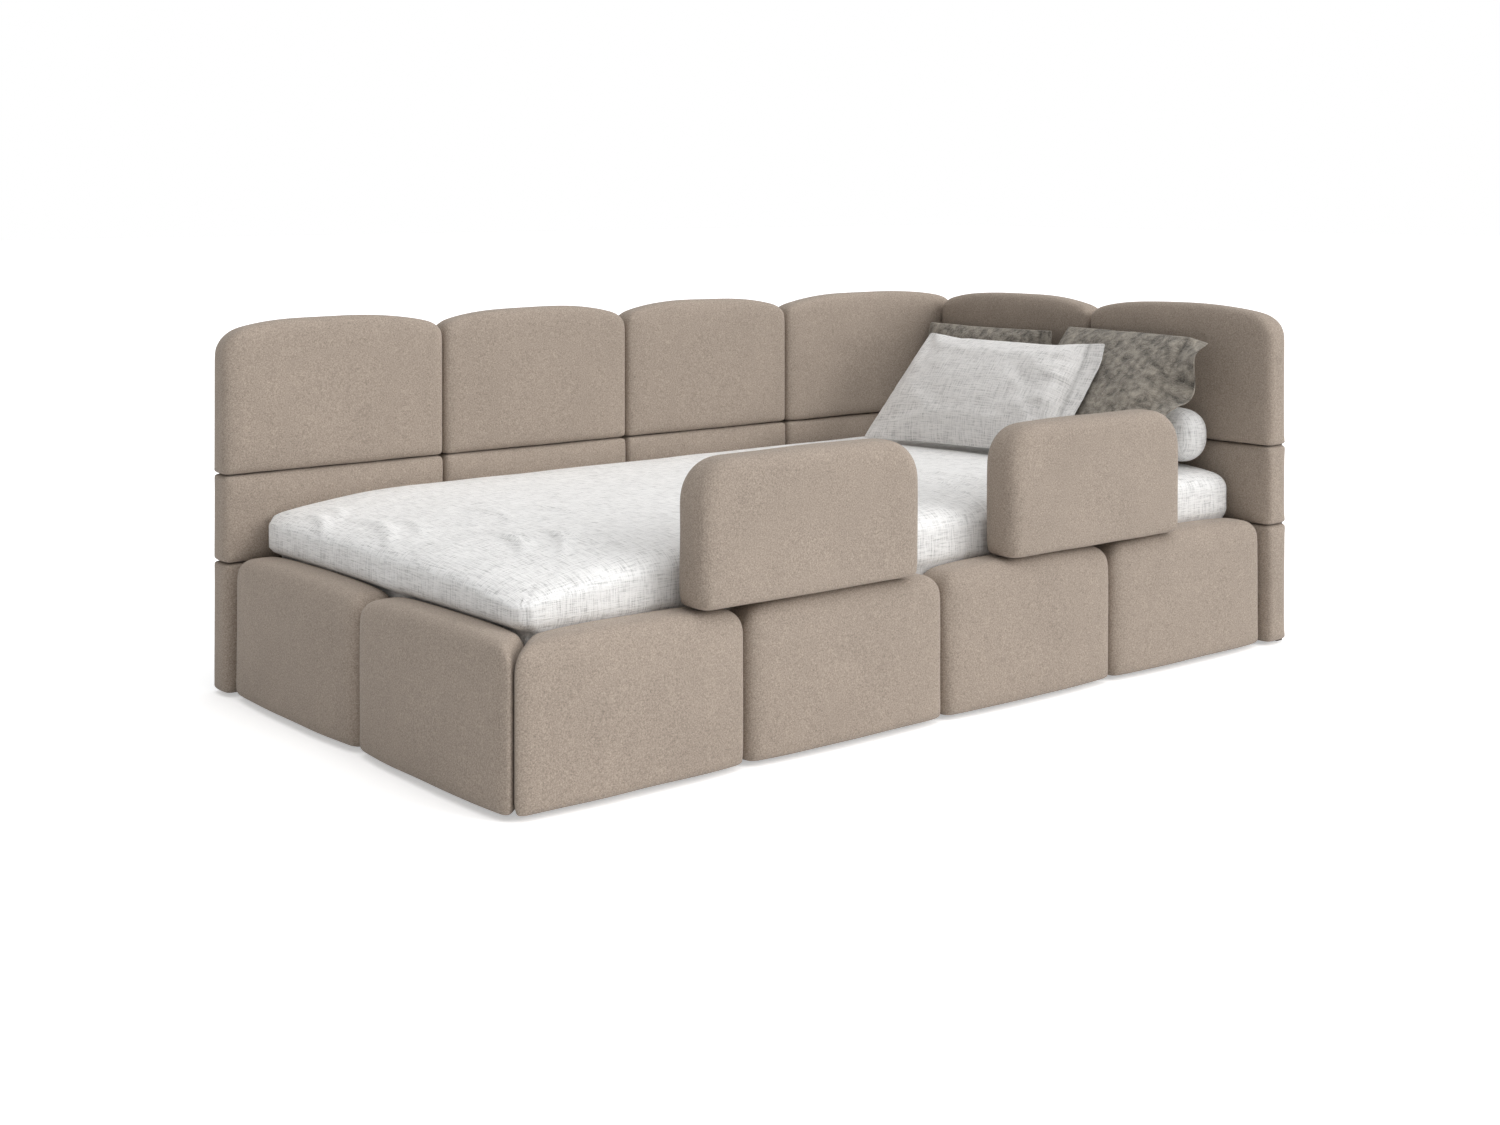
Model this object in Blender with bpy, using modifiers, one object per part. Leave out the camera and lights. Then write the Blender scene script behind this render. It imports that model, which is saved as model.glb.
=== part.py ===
"""Upholstered corner toddler bed for an 80 x 160 cm mattress, as separate sub-parts.

Two padded walls stand along the back and the head, two low padded rails along the
front and the foot. Slats rest on two ledges, the mattress lies on the slats, and two
padded guards plug into steel sockets inside the front rail.

Everything is laid out in corner coordinates: X from the foot seam plane towards the
head, Y from the front seam plane towards the back wall, Z up from the floor. One
empty shifts the whole bed so that its box is centred on the origin.
"""

import math

import bmesh
import bpy
from mathutils import Matrix, Vector

# ---------------------------------------------------------------- driving dimensions (metres)
FIT = 0.0003  # gap between pieces that touch
SEAM_GAP = 0.0008  # gap between neighbouring pads

MATTRESS_LENGTH = 1.600
MATTRESS_WIDTH = 0.800
MATTRESS_THICKNESS = 0.150
MATTRESS_CORNER = 0.026
MATTRESS_EDGE = 0.022
MATTRESS_END_PLAY = 0.0045
MATTRESS_SIDE_PLAY = 0.0010
SHEET_THICKNESS = 0.0012
SHEET_HEM_HEIGHT = 0.012  # the sheet stops this far above the underside of the mattress

PAD_CROWN = 0.018  # how far the soft faces stand out in front of their seams
PAD_FLOOR_GAP = 0.005
PAD_PITCH_SHARE = 0.2475  # of the inner length; the last pad takes what is left
PAD_FACE_ROUND = 0.016
FRONT_PAD_COUNT = 4
FOOT_PAD_COUNT = 2

RAIL_THICKNESS = 0.068
RAIL_PAD_HEIGHT = 0.2475
RAIL_PAD_TOP_CORNER = 0.045
RAIL_PAD_BOTTOM_CORNER = 0.018
RAIL_BOARD_THICKNESS = 0.016
RAIL_BOARD_HEIGHT = 0.205

WALL_THICKNESS = 0.075
WALL_HEIGHT = 0.646
WALL_LOW_SEAM = 0.229
WALL_MIDDLE_SEAM = 0.380
WALL_TOP_CORNER = 0.050
WALL_ROW_CORNER = 0.018
WALL_BOARD_THICKNESS = 0.016
WALL_BOARD_DROP = 0.050  # the board ends this far under the pads' top
WALL_BOARD_INSET = 0.020  # the pads wrap the board's ends by this much

SLAT_COUNT = 10
SLAT_WIDTH = 0.095
SLAT_THICKNESS = 0.015
SLAT_TOP = 0.190
SLAT_END_PLAY = 0.0010
LEDGE_WIDTH = 0.022
LEDGE_HEIGHT = 0.030
LEDGE_END_INSET = 0.055

GUARD_WIDTH = 0.452
GUARD_HEIGHT = 0.226
GUARD_THICKNESS = 0.075
GUARD_BOTTOM = 0.2480
GUARD_SHARES = (0.32232, 0.71369)  # where the guards stand along the inner length
GUARD_TOP_CORNER = 0.070
GUARD_BOTTOM_CORNER = 0.022
GUARD_CORE_THICKNESS = 0.012
GUARD_CORE_MARGIN = 0.030
GUARD_BACK_COVER = 0.0025

TONGUE_WIDTH = 0.025
TONGUE_THICKNESS = 0.005
TONGUE_SPREAD = 0.300  # centre to centre of a guard's two tongues
TONGUE_IN_GUARD = 0.120
TONGUE_IN_RAIL = 0.130
SOCKET_PLAY = 0.0005
SOCKET_WALL = 0.0018
SOCKET_TOP = 0.200
SOCKET_LENGTH = 0.110

BRACKET_LEG = 0.040
BRACKET_SHEET = 0.003
BRACKET_HEIGHT = 0.090
BRACKET_BOTTOM = 0.030

PILLOW_RIM = 0.010
PILLOW_CELLS = 6
PILLOW_SQUARENESS = 2.4  # a higher power carries the fullness further into the corners
PILLOW_SWELL = 0.75  # a lower power makes the rims rise more steeply

NEAR = 1e-5  # points closer than this lie on the same plane
CUTTER_REACH = 0.1  # how far a cutter stands out of what it cuts
SHARP_ANGLE = math.radians(35)
LARGEST_CORNER = 1 / 3  # of a pad's height

# ---------------------------------------------------------------- planes worked out from them
INNER_LENGTH = RAIL_THICKNESS + MATTRESS_LENGTH + 2 * (MATTRESS_END_PLAY + SHEET_THICKNESS + FIT)
INNER_WIDTH = RAIL_THICKNESS + MATTRESS_WIDTH + 2 * (MATTRESS_SIDE_PLAY + SHEET_THICKNESS + FIT)
PAD_PITCH = INNER_LENGTH * PAD_PITCH_SHARE
OUTER_X = INNER_LENGTH + WALL_THICKNESS
OUTER_Y = INNER_WIDTH + WALL_THICKNESS
GUARD_BACK = RAIL_THICKNESS - RAIL_BOARD_THICKNESS
GUARD_FRONT = GUARD_BACK - GUARD_THICKNESS
FRONT_LIMIT = min(-PAD_CROWN, GUARD_FRONT)
MATTRESS_BOTTOM = SLAT_TOP + FIT
MATTRESS_TOP = MATTRESS_BOTTOM + MATTRESS_THICKNESS
BED_TOP = MATTRESS_TOP + FIT + SHEET_THICKNESS
CENTRE_X = (OUTER_X - PAD_CROWN) / 2
CENTRE_Y = (OUTER_Y + FRONT_LIMIT) / 2


def clear_scene():
    for obj in list(bpy.data.objects):
        bpy.data.objects.remove(obj, do_unlink=True)


def new_collection(name, hidden=False):
    collection = bpy.data.collections.new(name)
    bpy.context.scene.collection.children.link(collection)
    collection.hide_render = hidden
    return collection


def new_material(name, colour, roughness, metallic=0.0):
    material = bpy.data.materials.new(name)
    material.use_nodes = True
    shader = material.node_tree.nodes["Principled BSDF"]
    shader.inputs["Base Color"].default_value = (*colour, 1.0)
    shader.inputs["Roughness"].default_value = roughness
    shader.inputs["Metallic"].default_value = metallic
    return material


clear_scene()
BED = new_collection("toddler_bed")
CUTTERS = new_collection("cutters", hidden=True)

VELOUR = new_material("taupe_velour", (0.46, 0.39, 0.32), 0.85)
PLYWOOD = new_material("lined_plywood", (0.42, 0.35, 0.28), 0.75)
PINE = new_material("pine", (0.68, 0.50, 0.31), 0.6)
STEEL = new_material("black_steel", (0.03, 0.03, 0.03), 0.5, 0.8)
TICKING = new_material("mattress_ticking", (0.85, 0.84, 0.82), 0.9)
SHEETING = new_material("white_linen", (0.82, 0.82, 0.81), 0.9)
GREY_LINEN = new_material("grey_linen", (0.60, 0.60, 0.58), 0.9)
CRUSHED_VELVET = new_material("crushed_velvet", (0.22, 0.19, 0.165), 0.7)


def add_empty(name, location, parent=None):
    empty = bpy.data.objects.new(name, None)
    empty.location = location
    empty.parent = parent
    BED.objects.link(empty)
    return empty


BED_FRAME = add_empty("bed_frame", (-CENTRE_X, -CENTRE_Y, 0.0))


def add_mesh(name, shape, material, location, parent=BED_FRAME, turn=None):
    """Turns a bmesh into an object of the bed and frees the bmesh."""
    bmesh.ops.recalc_face_normals(shape, faces=shape.faces)
    mesh = bpy.data.meshes.new(name)
    shape.to_mesh(mesh)
    shape.free()
    mesh.shade_smooth()
    mesh.set_sharp_from_angle(angle=SHARP_ANGLE)
    obj = bpy.data.objects.new(name, mesh)
    obj.data.materials.append(material)
    obj.location = location
    if turn is not None:
        obj.rotation_euler = turn
    obj.parent = parent
    BED.objects.link(obj)
    return obj


def box_shape(low, high):
    """A bmesh box between two corners."""
    low = Vector(low)
    high = Vector(high)
    shape = bmesh.new()
    bmesh.ops.create_cube(shape, size=1.0)
    bmesh.ops.scale(shape, vec=high - low, verts=shape.verts)
    bmesh.ops.translate(shape, vec=(low + high) / 2, verts=shape.verts)
    return shape


def add_box(name, low, high, material, parent=BED_FRAME, origin=(0.0, 0.0, 0.0)):
    """A box given by its corners in bed coordinates. origin is where its parent stands."""
    low = Vector(low) - Vector(origin)
    high = Vector(high) - Vector(origin)
    base = Vector(((low.x + high.x) / 2, (low.y + high.y) / 2, low.z))
    return add_mesh(name, box_shape(low - base, high - base), material, base, parent)


def add_cutter(name, low, high):
    """A box cutter in bed coordinates, which renders leave out."""
    shape = box_shape(low, high)
    mesh = bpy.data.meshes.new(name)
    shape.to_mesh(mesh)
    shape.free()
    obj = bpy.data.objects.new(name, mesh)
    obj.hide_render = True
    obj.display_type = "WIRE"
    obj.parent = BED_FRAME
    CUTTERS.objects.link(obj)
    return obj


def cut(obj, *cutters):
    for cutter in cutters:
        modifier = obj.modifiers.new("cut_" + cutter.name, "BOOLEAN")
        modifier.operation = "DIFFERENCE"
        modifier.solver = "EXACT"
        modifier.object = cutter


def bevel_edges(shape, edges, radius, segments):
    bmesh.ops.bevel(
        shape,
        geom=edges,
        offset=radius,
        offset_type="OFFSET",
        segments=segments,
        profile=0.5,
        affect="EDGES",
        clamp_overlap=True,
        material=-1,
    )


def edges_at(shape, test):
    """The edges both of whose ends satisfy the test."""
    return [edge for edge in shape.edges if all(test(vert.co) for vert in edge.verts)]


def edges_along(shape, axis):
    """The edges whose ends differ on that axis."""
    return [edge for edge in shape.edges
            if abs(edge.verts[0].co[axis] - edge.verts[1].co[axis]) > NEAR]


def pad_shape(width, depth, height, top_corner, bottom_corner, rounded_back=False):
    """An upright pad, face towards -Y, standing on the origin with its back at Y = 0."""
    shape = box_shape((-width / 2, -depth, 0.0), (width / 2, 0.0, height))
    largest = height * LARGEST_CORNER
    corners = edges_along(shape, 1)
    top = [edge for edge in corners if edge.verts[0].co.z > height - NEAR]
    bevel_edges(shape, top, min(top_corner, largest), 3)
    corners = edges_along(shape, 1)
    bottom = [edge for edge in corners if edge.verts[0].co.z < NEAR]
    bevel_edges(shape, bottom, min(bottom_corner, largest), 2)
    rims = edges_at(shape, lambda co: co.y < -depth + NEAR)
    if rounded_back:
        rims += edges_at(shape, lambda co: co.y > -NEAR)
    bevel_edges(shape, rims, PAD_FACE_ROUND, 2)
    return shape


FACING_FRONT = (0.0, 0.0, 0.0)
FACING_FOOT = (0.0, 0.0, -math.pi / 2)


def seams(start, end, pitch, count):
    """Seam positions of a row: the inner seams are whole pitches, the ends are given."""
    return [start] + [pitch * index for index in range(1, count)] + [end]


# ---------------------------------------------------------------- boards
def add_boards():
    front = ((RAIL_THICKNESS + FIT, RAIL_THICKNESS - RAIL_BOARD_THICKNESS, 0.0),
             (INNER_LENGTH - FIT, RAIL_THICKNESS, RAIL_BOARD_HEIGHT))
    foot = ((RAIL_THICKNESS - RAIL_BOARD_THICKNESS, RAIL_THICKNESS - RAIL_BOARD_THICKNESS, 0.0),
            (RAIL_THICKNESS, INNER_WIDTH - FIT, RAIL_BOARD_HEIGHT))
    top = WALL_HEIGHT - WALL_BOARD_DROP
    back = ((-PAD_CROWN + WALL_BOARD_INSET, OUTER_Y - WALL_BOARD_THICKNESS, 0.0),
            (OUTER_X - WALL_BOARD_INSET, OUTER_Y, top))
    head = ((OUTER_X - WALL_BOARD_THICKNESS, -PAD_CROWN + WALL_BOARD_INSET, 0.0),
            (OUTER_X, OUTER_Y - WALL_BOARD_THICKNESS - FIT, top))
    add_box("front_rail_board", *front, PLYWOOD)
    add_box("foot_rail_board", *foot, PLYWOOD)
    add_box("back_wall_board", *back, PLYWOOD)
    add_box("head_wall_board", *head, PLYWOOD)


add_boards()

# A rail pad's board room opens to its back, so it runs past the inner face.
BOARD_ROOM_TOP = WALL_HEIGHT - WALL_BOARD_DROP + FIT
BOARD_ROOM_END = -PAD_CROWN + WALL_BOARD_INSET - FIT
FRONT_REBATE = add_cutter("front_rebate", (-CUTTER_REACH, GUARD_BACK - FIT, -CUTTER_REACH),
                          (OUTER_X, RAIL_THICKNESS + CUTTER_REACH, RAIL_BOARD_HEIGHT + FIT))
FOOT_REBATE = add_cutter("foot_rebate",
                         (RAIL_THICKNESS - RAIL_BOARD_THICKNESS - FIT, -CUTTER_REACH, -CUTTER_REACH),
                         (RAIL_THICKNESS + CUTTER_REACH, OUTER_Y, RAIL_BOARD_HEIGHT + FIT))
BACK_REBATE = add_cutter("back_rebate",
                         (BOARD_ROOM_END, OUTER_Y - WALL_BOARD_THICKNESS - FIT, -CUTTER_REACH),
                         (OUTER_X - WALL_BOARD_INSET + FIT, OUTER_Y + CUTTER_REACH, BOARD_ROOM_TOP))
HEAD_REBATE = add_cutter("head_rebate",
                         (OUTER_X - WALL_BOARD_THICKNESS - FIT, BOARD_ROOM_END, -CUTTER_REACH),
                         (OUTER_X + CUTTER_REACH, OUTER_Y - WALL_BOARD_THICKNESS, BOARD_ROOM_TOP))


# ---------------------------------------------------------------- rail pads
def mitre(shape, sign):
    """Cuts the pad's end at 45 degrees behind the corner seam. sign is -1 at its left end."""
    width = max(vert.co.x for vert in shape.verts)
    plane_point = Vector((sign * (width + SEAM_GAP / 2), -RAIL_THICKNESS, 0.0))
    outward = Vector((sign, 1.0, 0.0)).normalized()
    result = bmesh.ops.bisect_plane(
        shape,
        geom=shape.verts[:] + shape.edges[:] + shape.faces[:],
        plane_co=plane_point - outward * SEAM_GAP,
        plane_no=outward,
        clear_outer=True,
    )
    rim = [item for item in result["geom_cut"] if isinstance(item, bmesh.types.BMEdge)]
    bmesh.ops.holes_fill(shape, edges=rim)


def add_rail_pads():
    pads = {}
    depth = RAIL_THICKNESS + PAD_CROWN
    height = RAIL_PAD_HEIGHT - PAD_FLOOR_GAP
    rows = (
        ("front_pad_", seams(0.0, INNER_LENGTH, PAD_PITCH, FRONT_PAD_COUNT), FACING_FRONT),
        ("foot_pad_", seams(0.0, INNER_WIDTH, INNER_WIDTH / FOOT_PAD_COUNT, FOOT_PAD_COUNT),
         FACING_FOOT),
    )
    for prefix, row, turn in rows:
        for index, (start, end) in enumerate(zip(row, row[1:]), 1):
            shape = pad_shape(end - start - SEAM_GAP, depth, height,
                              RAIL_PAD_TOP_CORNER, RAIL_PAD_BOTTOM_CORNER)
            along = (start + end) / 2
            if turn is FACING_FRONT:
                place = (along, RAIL_THICKNESS, PAD_FLOOR_GAP)
                if index == 1:
                    mitre(shape, -1)
            else:
                place = (RAIL_THICKNESS, along, PAD_FLOOR_GAP)
                if index == 1:
                    mitre(shape, 1)
            pad = add_mesh(f"{prefix}{index}", shape, VELOUR, place, turn=turn)
            cut(pad, FRONT_REBATE if turn is FACING_FRONT else FOOT_REBATE)
            pads[pad.name] = pad
    return pads


RAIL_PADS = add_rail_pads()


# ---------------------------------------------------------------- wall pads
def add_wall_pads():
    rows = (
        ("low", PAD_FLOOR_GAP, WALL_LOW_SEAM, WALL_ROW_CORNER),
        ("middle", WALL_LOW_SEAM, WALL_MIDDLE_SEAM, WALL_ROW_CORNER),
        ("top", WALL_MIDDLE_SEAM, WALL_HEIGHT, WALL_TOP_CORNER),
    )
    back = seams(-PAD_CROWN, OUTER_X, PAD_PITCH, FRONT_PAD_COUNT)
    head = seams(-PAD_CROWN, INNER_WIDTH, INNER_WIDTH / FOOT_PAD_COUNT, FOOT_PAD_COUNT)
    for level, bottom, top, corner in rows:
        height = top - bottom - SEAM_GAP
        for index, (start, end) in enumerate(zip(back, back[1:]), 1):
            shape = pad_shape(end - start - SEAM_GAP, WALL_THICKNESS, height, corner,
                              WALL_ROW_CORNER)
            place = ((start + end) / 2, OUTER_Y, bottom + SEAM_GAP / 2)
            pad = add_mesh(f"back_{level}_pad_{index}", shape, VELOUR, place)
            cut(pad, BACK_REBATE)
            if index == FRONT_PAD_COUNT:
                cut(pad, HEAD_REBATE)
        for index, (start, end) in enumerate(zip(head, head[1:]), 1):
            shape = pad_shape(end - start - SEAM_GAP, WALL_THICKNESS, height, corner,
                              WALL_ROW_CORNER)
            place = (OUTER_X, (start + end) / 2, bottom + SEAM_GAP / 2)
            pad = add_mesh(f"head_{level}_pad_{index}", shape, VELOUR, place, turn=FACING_FOOT)
            cut(pad, HEAD_REBATE)


add_wall_pads()


# ---------------------------------------------------------------- slatted base
def add_base():
    ledge_top = SLAT_TOP - SLAT_THICKNESS - FIT
    ledge_start = RAIL_THICKNESS + LEDGE_END_INSET
    ledge_end = INNER_LENGTH - LEDGE_END_INSET / 2
    inner = RAIL_THICKNESS + FIT
    outer = INNER_WIDTH - FIT
    add_box("front_ledge", (ledge_start, inner, ledge_top - LEDGE_HEIGHT),
            (ledge_end, inner + LEDGE_WIDTH, ledge_top), PINE)
    add_box("back_ledge", (ledge_start, outer - LEDGE_WIDTH, ledge_top - LEDGE_HEIGHT),
            (ledge_end, outer, ledge_top), PINE)
    step = (ledge_end - ledge_start - SLAT_WIDTH) / (SLAT_COUNT - 1)
    for index in range(SLAT_COUNT):
        start = ledge_start + index * step
        add_box(f"slat_{index + 1:02d}",
                (start, RAIL_THICKNESS + SLAT_END_PLAY, SLAT_TOP - SLAT_THICKNESS),
                (start + SLAT_WIDTH, INNER_WIDTH - SLAT_END_PLAY, SLAT_TOP), PINE)


add_base()


def add_corner_bracket():
    """A steel angle that joins the front and foot boards inside their corner."""
    near = RAIL_THICKNESS + FIT
    far = near + BRACKET_LEG
    top = BRACKET_BOTTOM + BRACKET_HEIGHT
    bracket = add_box("corner_bracket", (near, near, BRACKET_BOTTOM), (far, far, top), STEEL)
    cut(bracket, add_cutter("bracket_room",
                            (near + BRACKET_SHEET, near + BRACKET_SHEET, -CUTTER_REACH),
                            (far + CUTTER_REACH, far + CUTTER_REACH, top + CUTTER_REACH)))


add_corner_bracket()

# ---------------------------------------------------------------- guards
TONGUE_BACK = GUARD_BACK - GUARD_BACK_COVER
TONGUE_FRONT = TONGUE_BACK - TONGUE_THICKNESS
CORE_BACK = TONGUE_FRONT - FIT
CORE_FRONT = CORE_BACK - GUARD_CORE_THICKNESS
SOCKET_FRONT = TONGUE_FRONT - SOCKET_PLAY - SOCKET_WALL
SOCKET_BACK = GUARD_BACK - FIT
SOCKET_HALF = TONGUE_WIDTH / 2 + SOCKET_PLAY + SOCKET_WALL


def tongue_places(centre):
    return (centre - TONGUE_SPREAD / 2, centre + TONGUE_SPREAD / 2)


def add_socket(name, along):
    """A rectangular steel sleeve on the outer face of the front rail board."""
    bottom = SOCKET_TOP - SOCKET_LENGTH
    socket = add_box(name, (along - SOCKET_HALF, SOCKET_FRONT, bottom),
                     (along + SOCKET_HALF, SOCKET_BACK, SOCKET_TOP), STEEL)
    slot = TONGUE_WIDTH / 2 + SOCKET_PLAY
    cut(socket, add_cutter(name + "_slot",
                           (along - slot, TONGUE_FRONT - SOCKET_PLAY, -CUTTER_REACH),
                           (along + slot, TONGUE_BACK + SOCKET_PLAY, SOCKET_TOP + CUTTER_REACH)))
    groove = add_cutter(name + "_groove",
                        (along - SOCKET_HALF - FIT, SOCKET_FRONT - FIT, -CUTTER_REACH),
                        (along + SOCKET_HALF + FIT, RAIL_THICKNESS, SOCKET_TOP + FIT))
    slit = add_cutter(name + "_slit",
                      (along - slot, TONGUE_FRONT - SOCKET_PLAY, bottom),
                      (along + slot, TONGUE_BACK + SOCKET_PLAY, RAIL_PAD_HEIGHT + CUTTER_REACH))
    rail = seams(0.0, INNER_LENGTH, PAD_PITCH, FRONT_PAD_COUNT)
    for index, (start, end) in enumerate(zip(rail, rail[1:]), 1):
        if start < along + SOCKET_HALF and along - SOCKET_HALF < end:
            cut(RAIL_PADS[f"front_pad_{index}"], groove, slit)


def add_guard(number, centre):
    lift = add_empty(f"guard_{number}_lift", (centre, CORE_BACK, GUARD_BOTTOM), BED_FRAME)
    origin = lift.location
    shape = pad_shape(GUARD_WIDTH, GUARD_THICKNESS, GUARD_HEIGHT, GUARD_TOP_CORNER,
                      GUARD_BOTTOM_CORNER, rounded_back=True)
    place = (0.0, GUARD_BACK - CORE_BACK, 0.0)
    pad = add_mesh(f"guard_pad_{number}", shape, VELOUR, place, lift)
    half = GUARD_WIDTH / 2 - GUARD_CORE_MARGIN
    top = GUARD_BOTTOM + GUARD_HEIGHT - GUARD_CORE_MARGIN
    add_box(f"guard_core_{number}", (centre - half, CORE_FRONT, GUARD_BOTTOM + FIT),
            (centre + half, CORE_BACK, top), PLYWOOD, lift, origin)
    pocket = add_cutter(f"guard_{number}_pocket",
                        (centre - half - FIT, CORE_FRONT - FIT, GUARD_BOTTOM - CUTTER_REACH),
                        (centre + half + FIT, TONGUE_BACK + FIT, top + FIT))
    cut(pad, pocket)
    for side, along in zip("ab", tongue_places(centre)):
        add_box(f"guard_tongue_{number}{side}",
                (along - TONGUE_WIDTH / 2, TONGUE_FRONT, GUARD_BOTTOM - TONGUE_IN_RAIL),
                (along + TONGUE_WIDTH / 2, TONGUE_BACK, GUARD_BOTTOM + TONGUE_IN_GUARD),
                STEEL, lift, origin)
        add_socket(f"guard_socket_{number}{side}", along)


for guard_number, share in enumerate(GUARD_SHARES, 1):
    add_guard(guard_number, share * INNER_LENGTH)


# ---------------------------------------------------------------- mattress and its sheet
def mattress_shape(grow):
    """The mattress's rounded box about the middle of its underside, grown by some thickness."""
    half = Vector((MATTRESS_LENGTH / 2 + grow, MATTRESS_WIDTH / 2 + grow))
    shape = box_shape((-half.x, -half.y, 0.0), (half.x, half.y, MATTRESS_THICKNESS + grow))
    bevel_edges(shape, edges_along(shape, 2), MATTRESS_CORNER + grow, 3)
    rims = edges_at(shape, lambda co: co.z > MATTRESS_THICKNESS + grow - NEAR)
    rims += edges_at(shape, lambda co: co.z < NEAR)
    bevel_edges(shape, rims, MATTRESS_EDGE + grow, 2)
    return shape


MATTRESS_CENTRE = Vector(((RAIL_THICKNESS + INNER_LENGTH) / 2, (RAIL_THICKNESS + INNER_WIDTH) / 2,
                          MATTRESS_BOTTOM))
MATTRESS_LIFT = add_empty("mattress_lift", MATTRESS_CENTRE, BED_FRAME)


def add_mattress():
    add_mesh("mattress", mattress_shape(0.0), TICKING, (0.0, 0.0, 0.0), MATTRESS_LIFT)
    skin = mattress_shape(FIT)
    cut_height = max(SHEET_HEM_HEIGHT, MATTRESS_EDGE + 2 * FIT)
    bmesh.ops.bisect_plane(
        skin,
        geom=skin.verts[:] + skin.edges[:] + skin.faces[:],
        plane_co=(0.0, 0.0, cut_height),
        plane_no=(0.0, 0.0, -1.0),
        clear_outer=True,
    )
    sheet = add_mesh("fitted_sheet", skin, SHEETING, (0.0, 0.0, 0.0), MATTRESS_LIFT)
    cloth = sheet.modifiers.new("cloth", "SOLIDIFY")
    cloth.thickness = SHEET_THICKNESS
    cloth.offset = 1.0
    cloth.use_even_offset = True


add_mattress()


# ---------------------------------------------------------------- pillows
def pillow_shape(width, height, front, back):
    """A pillow in the XZ plane: crowned by front towards -Y and by back towards +Y."""
    shape = bmesh.new()
    bmesh.ops.create_cube(shape, size=2.0)
    rims = [edge for edge in shape.edges if edge.verts[0].co.y * edge.verts[1].co.y > 0]
    bmesh.ops.subdivide_edges(shape, edges=rims, cuts=PILLOW_CELLS - 1, use_grid_fill=True)
    rim = PILLOW_RIM / 2
    for vert in shape.verts:
        across = vert.co.x
        upward = vert.co.z
        flatness = (1 - abs(across) ** PILLOW_SQUARENESS) * (1 - abs(upward) ** PILLOW_SQUARENESS)
        fullness = flatness ** PILLOW_SWELL
        depth = -rim - (front - rim) * fullness if vert.co.y < 0 else rim + (back - rim) * fullness
        vert.co = Vector((across * width / 2, depth, upward * height / 2))
    return shape


def add_pillow(name, size, bulge, centre, lean, yaw, material, parent, origin):
    """A pillow that leans back towards the head wall by `lean` degrees from the horizontal."""
    lift = add_empty(name + "_lift", Vector(centre) - Vector(origin), parent)
    pillow = add_mesh(name, pillow_shape(*size, *bulge), material, (0.0, 0.0, 0.0), lift)
    face_foot = Matrix.Rotation(math.radians(-90 - yaw), 4, "Z")
    tip_back = Matrix.Rotation(math.radians(90 - lean), 4, "X")
    pillow.rotation_euler = (face_foot @ tip_back.inverted()).to_euler()
    return lift


def add_pillows():
    """Each pillow hangs on the one behind it, which carries it when it is lifted.

    A row gives the width as a share of the mattress's, the height, the front and back
    bulge, the distance from the head wall (a turned pillow stands further out by its own
    turned end), the place across as a share of the mattress's width, and the height of the
    centre above the bed.
    """
    rows = (
        ("lumbar_pillow", 0.4375, 0.100, (0.050, 0.046), (0.056, 0.238, 0.056), 88, 0, SHEETING),
        ("velvet_pillow_right", 0.4975, 0.287, (0.030, 0.023), (0.0917, 0.2775, 0.130), 52, 7,
         CRUSHED_VELVET),
        ("velvet_pillow_left", 0.455, 0.234, (0.028, 0.026), (0.052, 0.7725, 0.119), 76, 0,
         CRUSHED_VELVET),
        ("linen_pillow", 0.59375, 0.272, (0.050, 0.026), (0.1807, 0.57, 0.113), 53, -6, GREY_LINEN),
    )
    parent = MATTRESS_LIFT
    origin = MATTRESS_CENTRE
    for name, width, height, bulge, (from_head, across, above), lean, yaw, material in rows:
        size = (width * MATTRESS_WIDTH, height)
        turned_out = size[0] / 2 * math.sin(math.radians(abs(yaw)))
        centre = Vector((INNER_LENGTH - from_head - turned_out,
                         RAIL_THICKNESS + across * MATTRESS_WIDTH, BED_TOP + above))
        parent = add_pillow(name, size, bulge, centre, lean, yaw, material, parent, origin)
        origin = centre


add_pillows()
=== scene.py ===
# %% [markdown]
# # An upholstered corner bed for a small child
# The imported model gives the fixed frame: boards, slats, steel and the blocks that stand
# for foam. This lesson dresses that frame. Each foam block is replaced by a soft pad with
# crowned faces and tight creases, the mattress gets a stretched linen sheet, and the
# pillows are inflated as real sewn cases are filled.

# %% Load the frame
import math

import bmesh
import bpy
from mathutils import Matrix, Vector, noise


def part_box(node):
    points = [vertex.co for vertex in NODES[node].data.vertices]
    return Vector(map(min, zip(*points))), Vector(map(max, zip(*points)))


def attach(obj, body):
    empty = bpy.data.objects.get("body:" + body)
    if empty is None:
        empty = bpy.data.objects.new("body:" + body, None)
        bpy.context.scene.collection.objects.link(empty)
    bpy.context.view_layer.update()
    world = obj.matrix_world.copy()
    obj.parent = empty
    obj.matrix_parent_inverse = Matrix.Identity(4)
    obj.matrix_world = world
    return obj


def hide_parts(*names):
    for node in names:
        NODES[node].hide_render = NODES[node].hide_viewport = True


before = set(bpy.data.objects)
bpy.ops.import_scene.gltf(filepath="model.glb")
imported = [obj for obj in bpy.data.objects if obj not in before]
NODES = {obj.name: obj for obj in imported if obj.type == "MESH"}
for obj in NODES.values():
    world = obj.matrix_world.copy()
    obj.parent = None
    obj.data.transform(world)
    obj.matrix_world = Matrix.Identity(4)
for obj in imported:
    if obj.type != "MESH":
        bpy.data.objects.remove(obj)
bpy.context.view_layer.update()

# %% [markdown]
# ## Camera, light and floor
# The bed stands on a pale floor under large soft lamps, as in a small studio. The camera
# stands low beside the foot corner and looks level, and the lens is shifted down so that
# uprights stay upright. It could also be tilted down, but then the walls would lean.

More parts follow.
